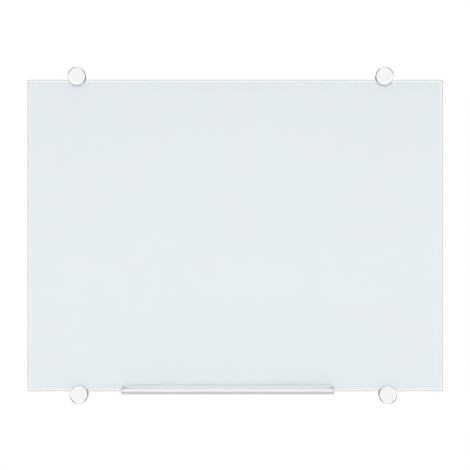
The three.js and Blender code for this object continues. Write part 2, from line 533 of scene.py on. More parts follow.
def rounded(corners: Sequence[Triple], steps: int) -> list[Point]:
    """Round the corners of a closed outline.

    Args:
        corners: Each corner's two coordinates and its radius, where zero keeps the corner sharp.
        steps: Number of straight steps in each rounded corner.

    Returns:
        The outline's points in order.
    """
    outline: list[Point] = []
    for i, (u, v, radius) in enumerate(corners):
        here = Vector((u, v))
        if not radius:
            outline.append((u, v))
            continue
        before = (Vector(corners[i - 1][:2]) - here).normalized()
        after = (Vector(corners[(i + 1) % len(corners)][:2]) - here).normalized()
        half = before.angle(after) / 2
        centre = here + (before + after).normalized() * (radius / math.sin(half))
        first = here + before * (radius / math.tan(half)) - centre
        last = here + after * (radius / math.tan(half)) - centre
        turn = first.angle_signed(last)
        for k in range(steps + 1):
            step = first.copy()
            step.rotate(Matrix.Rotation(-turn * k / steps, 2))
            outline.append((centre.x + step.x, centre.y + step.y))
    return outline


def sharp(outline: Sequence[Point]) -> list[Triple]:
    """Points of an outline as corners that stay sharp."""
    return [(u, v, 0.0) for u, v in outline]


def inset(outline: Sequence[Point], distance: float) -> list[Point]:
    """Move an outline inwards by an equal distance all round.

    Args:
        outline: Points of a closed outline that runs counterclockwise.
        distance: Distance that each side moves.

    Returns:
        The moved points in the same order.
    """
    moved: list[Point] = []
    for i, (u, v) in enumerate(outline):
        here = Vector((u, v))
        come = (here - Vector(outline[i - 1])).normalized()
        go = (Vector(outline[(i + 1) % len(outline)]) - here).normalized()
        inwards = Vector((-come.y - go.y, come.x + go.x)).normalized()
        # At a sharp corner the point moves by twice the distance at most.
        stretch = distance / max(inwards.dot(Vector((-come.y, come.x))), 0.5)
        moved.append((u + inwards.x * stretch, v + inwards.y * stretch))
    return moved


def shade(mesh: bpy.types.Mesh) -> bpy.types.Mesh:
    """Turn a mesh's faces outwards and shade it smooth, apart from its sharp edges.

    Args:
        mesh: Mesh to shade.

    Returns:
        The same mesh.
    """
    bm = bmesh.new()
    bm.from_mesh(mesh)
    bmesh.ops.recalc_face_normals(bm, faces=bm.faces)
    for face in bm.faces:
        face.smooth = True
    for edge in bm.edges:
        edge.smooth = edge.is_manifold and edge.calc_face_angle() < SMOOTH_TURN
    bm.to_mesh(mesh)
    bm.free()
    return mesh


def to_mesh(bm: bmesh.types.BMesh, name: str) -> bpy.types.Mesh:
    """Close a mesh under construction: join its doubles and shade it.

    Args:
        bm: Mesh under construction, which is freed.
        name: Name of the new mesh.

    Returns:
        The finished mesh.
    """
    bmesh.ops.remove_doubles(bm, verts=bm.verts, dist=JOIN_GAP)
    mesh = bpy.data.meshes.new(name)
    bm.to_mesh(mesh)
    bm.free()
    return shade(mesh)


def turned(name: str, profile: Sequence[Point], steps: int) -> bpy.types.Mesh:
    """Turn a profile about the local Z axis.

    Args:
        name: Name of the mesh.
        profile: Radius and height of each point, up the outside. It starts and ends on the axis, or it is
            the closed outline of a ring.
        steps: Number of steps round the full turn.

    Returns:
        The turned mesh.
    """
    bm = bmesh.new()
    rings: list[list[bmesh.types.BMVert]] = []
    for radius, height in profile:
        count = steps if radius > 0 else 1
        angles = [FULL_TURN * i / steps for i in range(count)]
        rings.append([bm.verts.new((radius * math.cos(a), radius * math.sin(a), height)) for a in angles])
    pairs = list(zip(rings, rings[1:]))
    if len(rings[0]) > 1:
        pairs.append((rings[-1], rings[0]))
    for lower, upper in pairs:
        for i in range(steps):
            corners = [lower[i % len(lower)], lower[(i + 1) % len(lower)]]
            corners += [upper[(i + 1) % len(upper)], upper[i % len(upper)]]
            bm.faces.new(list(dict.fromkeys(corners)))
    return to_mesh(bm, name)


def stacked(name: str, layers: Sequence[tuple[Sequence[Point], float]], axis: str) -> bpy.types.Mesh:
    """Skin a stack of outlines that have the same number of points, and close both ends.

    Args:
        name: Name of the mesh.
        layers: Each layer's outline and its place along the axis.
        axis: "X" for outlines in Y and Z, or "Y" for outlines in X and Z.

    Returns:
        The mesh.
    """
    bm = bmesh.new()
    rings: list[list[bmesh.types.BMVert]] = []
    for outline, along in layers:
        if axis == "X":
            rings.append([bm.verts.new((along, u, v)) for u, v in outline])
        else:
            rings.append([bm.verts.new((u, along, v)) for u, v in outline])
    for lower, upper in zip(rings, rings[1:]):
        for i, vertex in enumerate(lower):
            bm.faces.new((lower[i - 1], vertex, upper[i], upper[i - 1]))
    bm.faces.new(rings[0])
    bm.faces.new(rings[-1])
    return to_mesh(bm, name)


def add_object(name: str, data: bpy.types.ID) -> bpy.types.Object:
    """Put new data into the scene as an object at the origin.

    Args:
        name: Name of the object.
        data: Its mesh, curve, lamp or camera.

    Returns:
        The object.
    """
    thing = bpy.data.objects.new(name, data)
    bpy.context.scene.collection.objects.link(thing)
    return thing


def add_piece(
    name: str, mesh: bpy.types.Mesh, material: bpy.types.Material, body: str, node: str
) -> bpy.types.Object:
    """Put a finished mesh into the scene in place of a CAD node.

    Args:
        name: Name of the piece.
        mesh: Mesh of the piece, in place.
        material: Main material of the piece, which knows its slot in the record.
        body: Body that the piece moves with.
        node: CAD node that the piece stands for.

    Returns:
        The piece.
    """
    piece = add_object(name, mesh)
    if not mesh.materials:
        mesh.materials.append(material)
    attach(piece, body)
    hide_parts(node)
    log.info("%s: %d faces on %s", name, len(mesh.polygons), body)
    return piece


def evaluated(thing: bpy.types.Object, name: str) -> bpy.types.Mesh:
    """Keep the result of an object's modifier as a plain mesh, and remove the object.

    Args:
        thing: Object with its modifier.
        name: Name of the mesh.

    Returns:
        The shaded mesh.
    """
    depsgraph = bpy.context.evaluated_depsgraph_get()
    result = bpy.data.meshes.new_from_object(thing.evaluated_get(depsgraph), depsgraph=depsgraph)
    result.name = name
    thing.modifiers.clear()
    bpy.data.objects.remove(thing)
    return shade(result)


def combined(
    mesh: bpy.types.Mesh, other: bpy.types.Mesh, operation: str, solver: str = "EXACT"
) -> bpy.types.Mesh:
    """Join another solid to a mesh, or cut it out.

    Args:
        mesh: Solid to work on, which is used up.
        other: Second solid, which is used up.
        operation: "UNION" or "DIFFERENCE".
        solver: Boolean solver of the modifier.

    Returns:
        The new mesh, shaded.
    """
    base = add_object(mesh.name, mesh)
    tool = add_object(other.name, other)
    modifier = base.modifiers.new(operation, "BOOLEAN")
    modifier.operation = operation
    modifier.solver = solver
    modifier.object = tool
    result = evaluated(base, mesh.name)
    bpy.data.objects.remove(tool)
    return result


class ShapeTree:
    """A Geometry Nodes tree whose named inputs are the sizes of a piece."""

    def __init__(self, name: str, inputs: dict[str, str]) -> None:
        """Make the tree with its sockets.

        Args:
            name: Name of the tree.
            inputs: Socket type of each named size.
        """
        self.group = bpy.data.node_groups.new(name, "GeometryNodeTree")
        sockets = self.group.interface
        sockets.new_socket("Geometry", in_out="INPUT", socket_type="NodeSocketGeometry")
        for label, kind in inputs.items():
            sockets.new_socket(label, in_out="INPUT", socket_type=kind)
        sockets.new_socket("Material", in_out="INPUT", socket_type="NodeSocketMaterial")
        sockets.new_socket("Geometry", in_out="OUTPUT", socket_type="NodeSocketGeometry")
        self.sizes = add_node(self.group, "NodeGroupInput").outputs

    def close(self, geometry: bpy.types.NodeSocket) -> None:
        """End the tree: make the geometry real and give it its material.

        Args:
            geometry: Result of the tree.
        """
        real = add_node(self.group, "GeometryNodeRealizeInstances", {"Geometry": geometry})
        dressed = add_node(
            self.group,
            "GeometryNodeSetMaterial",
            {"Geometry": real.outputs["Geometry"], "Material": self.sizes["Material"]},
        )
        add_node(self.group, "NodeGroupOutput", {"Geometry": dressed.outputs["Geometry"]})

    def mesh(
        self,
        name: str,
        source: bpy.types.Mesh | bpy.types.Curve,
        material: bpy.types.Material,
        sizes: dict[str, object],
    ) -> bpy.types.Mesh:
        """Run the tree once and keep its result as a plain mesh.

        Args:
            name: Name of the mesh.
            source: Geometry that goes into the tree.
            material: Material of the piece.
            sizes: Value of each named input.

        Returns:
            The shaded mesh.
        """
        holder = add_object(name, source)
        modifier = holder.modifiers.new(self.group.name, "NODES")
        modifier.node_group = self.group
        values = {**sizes, "Material": material}
        for socket in self.group.interface.items_tree:
            if socket.name in values:
                modifier[socket.identifier] = values[socket.name]
        return evaluated(holder, name)


@dataclass(frozen=True)
class Thread:
    """Form of a screw thread, whose shares are parts of its pitch.

    Attributes:
        pitch: Distance from one turn to the next.
        depth_share: Depth of the thread.
        sink_share: How far the ridge is sunk into its core.
        crest_share: Width of its crest.
        root_share: Width of its foot.
        start_share: Distance of its first turn from the tip.
        runout_share: How far it runs on past its end.
        point_length: Length of the point or chamfer at the tip.
        point_radius: Radius that is left at the tip.
        steps: Steps in each turn.
    """

    pitch: float
    depth_share: float
    sink_share: float
    crest_share: float
    root_share: float
    start_share: float
    runout_share: float
    point_length: float
    point_radius: float
    steps: int

    def sizes(self, radius: float, end: float) -> dict[str, object]:
        """Sizes of the ridge, of the core inside it and of the point.

        Args:
            radius: Radius over the thread.
            end: Distance from the tip to the thread's end.

        Returns:
            Value of each named input of a threaded rod, apart from its place.
        """
        start = self.start_share * self.pitch
        run = end + self.runout_share * self.pitch - start
        core_radius = radius - self.depth_share * self.pitch
        core_length = start + run + self.pitch
        height = (self.depth_share + self.sink_share) * self.pitch
        return {
            "Steps": self.steps,
            "Turns": run / self.pitch,
            "Run": run,
            "Run Start": (0.0, 0.0, start),
            "Foot Radius": radius - height,
            "Ridge Height": height,
            "Ridge Middle": (-height / 2, 0.0, 0.0),
            "Crest Width": self.crest_share * self.pitch,
            "Root Width": self.root_share * self.pitch,
            "Core Radius": core_radius,
            "Core Length": core_length,
            "Core Middle": (0.0, 0.0, core_length / 2),
            "Core Rings": math.ceil(core_length / self.pitch),
            "Point Length": self.point_length,
            "Point Scale": self.point_radius / radius,
        }


# Metric proportions: the root lies 0.6134 pitches below the crest, whose flat is an eighth of a pitch.
METRIC_THREAD = Thread(
    pitch=1.25 * MM,
    depth_share=0.6134,
    sink_share=0.12268,
    crest_share=0.125,
    root_share=0.78,
    start_share=0.4,
    runout_share=0.3,
    point_length=0.8 * MM,
    point_radius=3.2 * MM,
    steps=32,
)

# Wood screws have a thin sharp ridge with wide gaps.
WOOD_THREAD = Thread(
    pitch=1.6 * MM,
    depth_share=0.3125,
    sink_share=0.0625,
    crest_share=0.08,
    root_share=0.5,
    start_share=0.6,
    runout_share=0.2,
    point_length=6 * MM,
    point_radius=0.21 * MM,
    steps=24,
)


class ThreadedRod(ShapeTree):
    """A rod with a screw thread round it, joined to the solid that goes in.

    The rod stands on the origin along the local Z axis, and its foot narrows to a point or a chamfer. The
    result is laid along -Y at its place.
    """

    def __init__(self) -> None:
        """Build the tree."""
        kinds = {
            "NodeSocketFloat": (
                "Turns", "Run", "Foot Radius", "Ridge Height", "Crest Width", "Root Width",
                "Core Radius", "Core Length", "Point Length", "Point Scale",
            ),
            "NodeSocketInt": ("Steps", "Core Rings"),
            "NodeSocketVector": ("Run Start", "Ridge Middle", "Core Middle", "Place"),
        }
        super().__init__(
            "threaded_rod", {label: kind for kind, labels in kinds.items() for label in labels}
        )
        solid = add_node(self.group, "GeometryNodeMeshBoolean", operation="UNION", solver="MANIFOLD")
        for part in (self.ridge(), self.core(), self.sizes["Geometry"]):
            self.group.links.new(part, solid.inputs["Mesh 2"])
        pointed = self.pointed(solid.outputs["Mesh"])
        laid = add_node(
            self.group,
            "GeometryNodeTransform",
            {
                "Geometry": pointed,
                "Rotation": (QUARTER_TURN, 0.0, 0.0),
                "Translation": self.sizes["Place"],
            },
        )
        self.close(laid.outputs["Geometry"])

    def cut(
        self,
        name: str,
        solid: bpy.types.Mesh,
        material: bpy.types.Material,
        thread: Thread,
        box: Box,
        radius: float,
        end: float,
    ) -> bpy.types.Mesh:
        """Make a threaded rod that is joined to a solid.

        Args:
            name: Name of the mesh.
            solid: Solid on the far end of the rod, upright on the local Z axis.
            material: Material of the piece.
            thread: Form of the thread.
            box: Box of the CAD node, whose wall side is the tip.
            radius: Radius over the thread.
            end: Distance from the tip to the thread's end.

        Returns:
            The mesh, in place.
        """
        place = (box.centre.x, box.high.y, box.centre.z)
        sizes = {**thread.sizes(radius, end), "Place": place}
        return self.mesh(name, solid, material, sizes)

    def ridge(self) -> bpy.types.NodeSocket:
        """Sweep a trapezium along a helix.

        Returns:
            The thread, with its foot sunk into the core.
        """
        sizes = self.sizes
        helix = add_node(
            self.group,
            "GeometryNodeCurveSpiral",
            {
                "Resolution": sizes["Steps"],
                "Rotations": sizes["Turns"],
                "Start Radius": sizes["Foot Radius"],
                "End Radius": sizes["Foot Radius"],
                "Height": sizes["Run"],
            },
        )
        lifted = add_node(
            self.group,
            "GeometryNodeTransform",
            {"Geometry": helix.outputs["Curve"], "Translation": sizes["Run Start"]},
        )
        upright = add_node(
            self.group, "GeometryNodeSetCurveNormal", {"Curve": lifted.outputs["Geometry"]}, mode="Z_UP"
        )
        section = add_node(
            self.group,
            "GeometryNodeCurvePrimitiveQuadrilateral",
            {
                "Height": sizes["Ridge Height"],
                "Bottom Width": sizes["Root Width"],
                "Top Width": sizes["Crest Width"],
                "Offset": 0.0,
            },
            mode="TRAPEZOID",
        )
        facing = add_node(
            self.group,
            "GeometryNodeTransform",
            {
                "Geometry": section.outputs["Curve"],
                "Rotation": (0.0, 0.0, QUARTER_TURN),
                "Translation": sizes["Ridge Middle"],
            },
        )
        swept = add_node(
            self.group,
            "GeometryNodeCurveToMesh",
            {
                "Curve": upright.outputs["Curve"],
                "Profile Curve": facing.outputs["Geometry"],
                "Fill Caps": True,
            },
        )
        return swept.outputs["Mesh"]

    def core(self) -> bpy.types.NodeSocket:
        """Make the plain rod inside the thread.

        Returns:
            The rod, a little longer than the thread.
        """
        rod = add_node(
            self.group,
            "GeometryNodeMeshCylinder",
            {
                "Vertices": self.sizes["Steps"],
                "Side Segments": self.sizes["Core Rings"],
                "Radius": self.sizes["Core Radius"],
                "Depth": self.sizes["Core Length"],
            },
        )
        raised = add_node(
            self.group,
            "GeometryNodeTransform",
            {"Geometry": rod.outputs["Mesh"], "Translation": self.sizes["Core Middle"]},
        )
        return raised.outputs["Geometry"]

    def pointed(self, solid: bpy.types.NodeSocket) -> bpy.types.NodeSocket:
        """Narrow the foot of the solid to its point.

        Args:
            solid: Rod and thread, joined to the solid that went in.

        Returns:
            The pointed solid.
        """
        place = add_node(self.group, "GeometryNodeInputPosition").outputs["Position"]
        height = add_node(self.group, "ShaderNodeSeparateXYZ", {"Vector": place}).outputs["Z"]
        share = add_node(
            self.group,
            "ShaderNodeMapRange",
            {
                "Value": height,
                "From Min": 0.0,
                "From Max": self.sizes["Point Length"],
                "To Min": self.sizes["Point Scale"],
                "To Max": 1.0,
            },
        ).outputs["Result"]
        scale = add_node(self.group, "ShaderNodeCombineXYZ", {"X": share, "Y": share, "Z": 1.0})
        narrowed = add_node(
            self.group,
            "ShaderNodeVectorMath",
            {0: place, 1: scale.outputs["Vector"]},
            operation="MULTIPLY",
        )
        moved = add_node(
            self.group,
            "GeometryNodeSetPosition",
            {"Geometry": solid, "Position": narrowed.outputs["Vector"]},
        )
        return moved.outputs["Geometry"]


class ExtrudedSection(ShapeTree):
    """A section swept straight along X, from the outline curve that goes in."""

    def __init__(self, name: str = "extruded_section", extra: dict[str, str] | None = None) -> None:
        """Build the tree.

        Args:
            name: Name of the tree.
            extra: Socket type of each size besides the two ends.
        """
        kinds = {"Start": "NodeSocketFloat", "End": "NodeSocketFloat", **(extra or {})}
        super().__init__(name, kinds)
        self.close(self.solid())

    def solid(self) -> bpy.types.NodeSocket:
        """The solid that the tree makes."""
        return self.swept(self.sizes["Geometry"])

    def swept(self, section: bpy.types.NodeSocket) -> bpy.types.NodeSocket:
        """Sweep closed curves along X from one end to the other.

        Args:
            section: The curves, lying flat.

        Returns:
            The swept solids.
        """
        ends = [
            add_node(self.group, "ShaderNodeCombineXYZ", {"Z": self.sizes[label]})
            for label in ("Start", "End")
        ]
        path = add_node(
            self.group,
            "GeometryNodeCurvePrimitiveLine",
            {"Start": ends[0].outputs["Vector"], "End": ends[1].outputs["Vector"]},
        )
        swept = add_node(
            self.group,
            "GeometryNodeCurveToMesh",
            {"Curve": path.outputs["Curve"], "Profile Curve": section, "Fill Caps": True},
        )
        laid = add_node(
            self.group,
            "GeometryNodeTransform",
            {"Geometry": swept.outputs["Mesh"], "Rotation": (0.0, QUARTER_TURN, 0.0)},
        )
        return laid.outputs["Geometry"]

    def extruded(
        self,
        name: str,
        outline: Sequence[Point],
        ends: Point,
        material: bpy.types.Material,
        extra: dict[str, object] | None = None,
    ) -> bpy.types.Mesh:
        """Sweep a closed outline of Y and Z from one X to another.

        Args:
            name: Name of the mesh.
            outline: Points of the section, in Y and Z.
            ends: The two ends along X.
            material: Material of the piece.
            extra: Value of each size besides the two ends.

        Returns:
            The mesh.
        """
        curve = bpy.data.curves.new(name, "CURVE")
        curve.dimensions = "3D"
        spline = curve.splines.new("POLY")
        spline.points.add(len(outline) - 1)
        # The sweep is turned a quarter about Y, which takes the curve's -X to Z and its Z to X.
        for point, (y, z) in zip(spline.points, outline):
            point.co = (-z, y, 0.0, 1.0)
        spline.use_cyclic_u = True
        sizes = {"Start": ends[0], "End": ends[1], **(extra or {})}
        return self.mesh(name, curve, material, sizes)


class RibbedStrip(ExtrudedSection):
    """A flat strip with ribs along it, from the outline of the lowest rib that goes in."""

    def __init__(self) -> None:
        """Build the tree."""
        super().__init__(
            "ribbed_strip",
            {
                "Ribs": "NodeSocketInt",
                "Rib Step": "NodeSocketVector",
                "Strip Size": "NodeSocketVector",
                "Strip Middle": "NodeSocketVector",
            },
        )

    def solid(self) -> bpy.types.NodeSocket:
        """Join a row of ribs to the strip.

        Returns:
            The ribbed strip.
        """
        row = add_node(
            self.group,
            "GeometryNodeMeshLine",
            {"Count": self.sizes["Ribs"], "Offset": self.sizes["Rib Step"]},
            mode="OFFSET",
        )
        ribs = add_node(
            self.group,
            "GeometryNodeInstanceOnPoints",
            {"Points": row.outputs["Mesh"], "Instance": self.sizes["Geometry"]},
        )
        real = add_node(
            self.group, "GeometryNodeRealizeInstances", {"Geometry": ribs.outputs["Instances"]}
        )
        strip = add_node(self.group, "GeometryNodeMeshCube", {"Size": self.sizes["Strip Size"]})
        placed = add_node(
            self.group,
            "GeometryNodeTransform",
            {"Geometry": strip.outputs["Mesh"], "Translation": self.sizes["Strip Middle"]},
        )
        joined = add_node(self.group, "GeometryNodeMeshBoolean", operation="UNION", solver="MANIFOLD")
        for part in (self.swept(real.outputs["Geometry"]), placed.outputs["Geometry"]):
            self.group.links.new(part, joined.inputs["Mesh 2"])
        return joined.outputs["Mesh"]


@dataclass
class Panel:
    """The writing panel: glass sheet, its back coat and the steel sheet behind it.

    Attributes:
        finishes: Materials of the object.
        arris: Width of the ground bevel along each edge of the glass.
        corner: Radius of the glass's corners.
        skin: How far the coat stays clear of the glass and the steel.
        flat_face: Share of a face's normal along Y above which the face is polished, not ground.
        corner_steps: Steps in each rounded corner.
    """

    finishes: Finishes
    arris: float = 1.2 * MM
    corner: float = 1.5 * MM
    skin: float = 0.02 * MM
    flat_face: float = 0.99
    corner_steps: int = 6

    def rectangle(self, box: Box, margin: float, radius: float) -> list[Point]:
        """Outline of a rounded rectangle inside a box.

        Args:
            box: Box that gives the outer sides.
            margin: Distance from those sides to the outline.
            radius: Corner radius.

        Returns:
            Points in X and Z, counterclockwise.
        """
        left, bottom = box.low.x + margin, box.low.z + margin
        right, top = box.high.x - margin, box.high.z - margin
        corners = ((left, bottom), (right, bottom), (right, top), (left, top))
        return rounded([(x, z, radius) for x, z in corners], self.corner_steps)

    def glass(self) -> None:
        """The toughened sheet: clear faces, and ground bevels and edges all round."""
        box = Box.of("glass_panel")
        flat = self.rectangle(box, self.arris, self.corner - self.arris)
        full = self.rectangle(box, 0.0, self.corner)
        mesh = stacked(
            "toughened_glass_sheet",
            [
                (flat, box.high.y),
                (full, box.high.y - self.arris),
                (full, box.low.y + self.arris),
                (flat, box.low.y),
            ],
            "Y",
        )
        mesh.materials.append(self.finishes.glass)
        mesh.materials.append(self.finishes.ground_edge)
        for face in mesh.polygons:
            face.material_index = 0 if abs(face.normal.y) > self.flat_face else 1
        add_piece("toughened_glass_sheet", mesh, self.finishes.glass, "board", "glass_panel")

    def coat(self) -> None:
        """The white enamel on the back of the glass, a hair clear of it so that both render cleanly."""
        box = Box.of("white_back_coat")
        outline = self.rectangle(box, 0.0, self.corner)
        layers = [(outline, box.high.y - self.skin), (outline, box.low.y + self.skin)]
        mesh = stacked("white_enamel_coat", layers, "Y")
        add_piece("white_enamel_coat", mesh, self.finishes.enamel, "board", "white_back_coat")

    def steel(self) -> None:
        """Dress the CAD's own steel sheet, whose shape is already right."""
        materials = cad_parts["magnetic_steel_sheet"].data.materials
        materials.clear()
        materials.append(self.finishes.steel)

    def build(self) -> None:
        """Build and dress the panel."""
        self.glass()
        self.coat()
        self.steel()


@dataclass
class Holder:
    """One edge-grip holder: barrel, wall screw, washers, sleeve, cap and threaded stud.

    Attributes:
        place: Corner of the board that the holder grips.
        finishes: Materials of the object.
        rod: Tree that makes the threads.
        clearance: Gap round the stud's thread.
        cap_rim: Radius of the cap's rounded rim.
        cap_edge: Rounding of the cap's back edge.
        barrel_edge: Rounding of the barrel's two edges.
        barrel_floor: Thickness of the barrel's floor.
        soft_edge: Rounding of the washers and the sleeve.
        screw_hole: Radius of the hole for the wall screw.
        screw_play: Gap between the wall screw and its hole.
        screw_neck: Plain length under the wall screw's head.
        head_rim: Height of the rim of the countersunk head.
        recess_depth: Depth of the cross recess.
        recess_reach: Half the length of the recess's arms, at the top and at the bottom.
        recess_width: Half the width of the recess's arms.
        recess_overrun: How far the solid that cuts the recess stands above the head.
        steps: Steps round a turned part.
        small_steps: Steps round a small one.
        rim_steps: Steps over the cap's rounded rim.
        edge_steps: Steps over the other rounded edges of the cap and the barrel.
        ring_steps: Steps over the edges of the washers and the sleeve.
    """

    place: Place
    finishes: Finishes
    rod: ThreadedRod
    clearance: float = 0.15 * MM
    cap_rim: float = 3.2 * MM
    cap_edge: float = 0.4 * MM
    barrel_edge: float = 0.6 * MM
    barrel_floor: float = 3.5 * MM
    soft_edge: float = 0.15 * MM
    screw_hole: float = 1.95 * MM
    screw_play: float = 0.2 * MM
    screw_neck: float = 6 * MM
    head_rim: float = 0.3 * MM
    recess_depth: float = 1.9 * MM
    recess_reach: Point = (2.1 * MM, 0.9 * MM)
    recess_width: float = 0.42 * MM
    recess_overrun: float = 0.1 * MM
    steps: int = 96
    small_steps: int = 48
    rim_steps: int = 16
    edge_steps: int = 4
    ring_steps: int = 3

    def node(self, part: str) -> str:
        """Name of one of this holder's CAD nodes, bodies or pieces."""
        return f"{self.place.value}_{part}"

    def box(self, part: str) -> Box:
        """Box of one of this holder's CAD nodes."""
        return Box.of(self.node(part))

    def stand(self, mesh: bpy.types.Mesh) -> bpy.types.Mesh:
        """Lay a turned mesh on the holder's axis, with its local Z pointing away from the wall.

        Args:
            mesh: Mesh to move.

        Returns:
            The same mesh.
        """
        axis = self.box("barrel").centre
        mesh.transform(Matrix.Translation((axis.x, 0.0, axis.z)) @ Matrix.Rotation(QUARTER_TURN, 4, "X"))
        return mesh

    def dress(
        self, name: str, mesh: bpy.types.Mesh, material: bpy.types.Material, body: str, part: str
    ) -> None:
        """Put a finished mesh of this holder into the scene in place of its CAD node."""
        add_piece(self.node(name), mesh, material, body, self.node(part))

    def bore(self) -> float:
        """Radius of every hole that the stud passes through."""
        return self.box("cap_stud").radius + self.clearance

    def cap(self) -> None:
        """The polished cap: flat face, wide round rim, and a bore for the stud behind."""
        box = self.box("cap")
        floor = self.box("cap_stud").front
        profile = [(0.0, floor), (self.bore(), floor), (self.bore(), box.back)]
        back_edge = (box.radius - self.cap_edge, box.back + self.cap_edge)
        profile += arc(back_edge, self.cap_edge, -QUARTER_TURN, 0.0, self.edge_steps)
        rim = (box.radius - self.cap_rim, box.front - self.cap_rim)
        profile += arc(rim, self.cap_rim, 0.0, QUARTER_TURN, self.rim_steps)
        profile.append((0.0, box.front))
        mesh = self.stand(turned(self.node("chrome_cap"), profile, self.steps))
        self.dress("chrome_cap", mesh, self.finishes.chrome, self.node("cap"), "cap")

    def barrel(self) -> None:
        """The barrel: bright outside, a bore for the stud, and a floor countersunk for the wall screw."""
        box = self.box("barrel")
        edge = self.barrel_edge
        outer = box.radius - edge
        profile = [(self.screw_hole, box.back)]
        profile += arc((outer, box.back + edge), edge, -QUARTER_TURN, 0.0, self.edge_steps)
        profile += arc((outer, box.front - edge), edge, 0.0, QUARTER_TURN, self.edge_steps)
        mouth = self.bore() + self.soft_edge
        profile += [(mouth, box.front), (self.bore(), box.front - self.soft_edge)]
        head = self.box("wall_screw").radius + self.screw_play
        profile += [
            (self.bore(), self.barrel_floor),
            (head, self.barrel_floor),
            (self.screw_hole, self.barrel_floor - (head - self.screw_hole)),
        ]
        mesh = self.stand(turned(self.node("chrome_barrel"), profile, self.steps))
        self.dress("chrome_barrel", mesh, self.finishes.chrome, "board", "barrel")

    def soft_ring(self, name: str, part: str, body: str) -> None:
        """A washer or the sleeve: a plain ring of clear plastic with eased edges.

        Args:
            name: Name of the piece.
            part: CAD node that it stands for.
            body: Body that it moves with.
        """
        box = self.box(part)
        inner, outer, ease = self.bore(), box.radius, self.soft_edge
        profile = rounded(
            [
                (inner, box.back, 0.0),
                (outer, box.back, ease),
                (outer, box.front, ease),
                (inner, box.front, 0.0),
            ],
            self.ring_steps,
        )
        mesh = self.stand(turned(self.node(name), profile, self.steps))
        self.dress(name, mesh, self.finishes.pvc, body, part)

    def stud(self) -> None:
        """The metric stud: threaded from its chamfered tip to the plain end inside the cap."""
        box = self.box("cap_stud")
        cap = self.box("cap")
        length = box.front - box.back
        plain = cap.back - box.back + self.soft_edge
        profile = [(0.0, plain), (box.radius, plain), (box.radius, length), (0.0, length)]
        mesh = self.rod.cut(
            self.node("threaded_stud"),
            turned(self.node("stud_end"), profile, self.small_steps),
            self.finishes.zinc,
            METRIC_THREAD,
            box,
            box.radius,
            plain,
        )
        self.dress("threaded_stud", mesh, self.finishes.zinc, self.node("cap"), "cap_stud")

    @property
    def shank(self) -> float:
        """Radius of the wall screw's neck, and over its thread."""
        return self.screw_hole - self.screw_play

    def under_head(self, box: Box) -> float:
        """Distance from the wall screw's tip to the underside of its countersunk head."""
        return box.front - box.back - self.head_rim - (box.radius - self.shank)

    def screw_head(self, box: Box) -> bpy.types.Mesh:
        """The wall screw's countersunk head and plain neck, with its cross recess, upright on local Z.

        Args:
            box: Box of the wall screw.

        Returns:
            The solid head.
        """
        top = box.front - box.back
        under = self.under_head(box)
        neck = under - self.screw_neck
        profile = [
            (0.0, neck),
            (self.shank, neck),
            (self.shank, under),
            (box.radius, top - self.head_rim),
            (box.radius, top),
            (0.0, top),
        ]
        head = turned(self.node("screw_head"), profile, self.small_steps)
        return combined(head, self.cross(top), "DIFFERENCE")

    def cross(self, top: float) -> bpy.types.Mesh:
        """Make the solid that cuts the cross recess: a plus sign that narrows downwards.

        Args:
            top: Height of the top of the screw's head.

        Returns:
            The solid, upright on local Z.
        """
        layers = []
        heights = (top - self.recess_depth, top + self.recess_overrun)
        for reach, height in zip(self.recess_reach[::-1], heights):
            w = self.recess_width
            outline = [
                (w, w), (w, reach), (-w, reach), (-w, w), (-reach, w), (-reach, -w),
                (-w, -w), (-w, -reach), (w, -reach), (w, -w), (reach, -w), (reach, w),
            ]
            layers.append((outline, height))
        mesh = stacked(self.node("cross_recess"), layers, "Y")
        # The outline lies in X and Z, so swapping Y and Z stands the stack upright; it also turns its faces.
        mesh.transform(Matrix(((1, 0, 0, 0), (0, 0, 1, 0), (0, 1, 0, 0), (0, 0, 0, 1))))
        mesh.flip_normals()
        return mesh

    def screw(self) -> None:
        """The wall screw: pointed thread, plain neck, and a countersunk head with a cross recess."""
        box = self.box("wall_screw")
        mesh = self.rod.cut(
            self.node("countersunk_screw"),
            self.screw_head(box),
            self.finishes.zinc,
            WOOD_THREAD,
            box,
            self.shank,
            self.under_head(box) - self.screw_neck,
        )
        self.dress("countersunk_screw", mesh, self.finishes.zinc, "board", "wall_screw")

    def build(self) -> None:
        """Build and dress the holder, from the wall outwards."""
        self.screw()
        self.barrel()
        self.soft_ring("clear_rear_washer", "rear_washer", "board")
        self.soft_ring("clear_sleeve", "sleeve", "board")
        self.soft_ring("clear_front_washer", "front_washer", self.node("washer"))
        self.stud()
        self.cap()


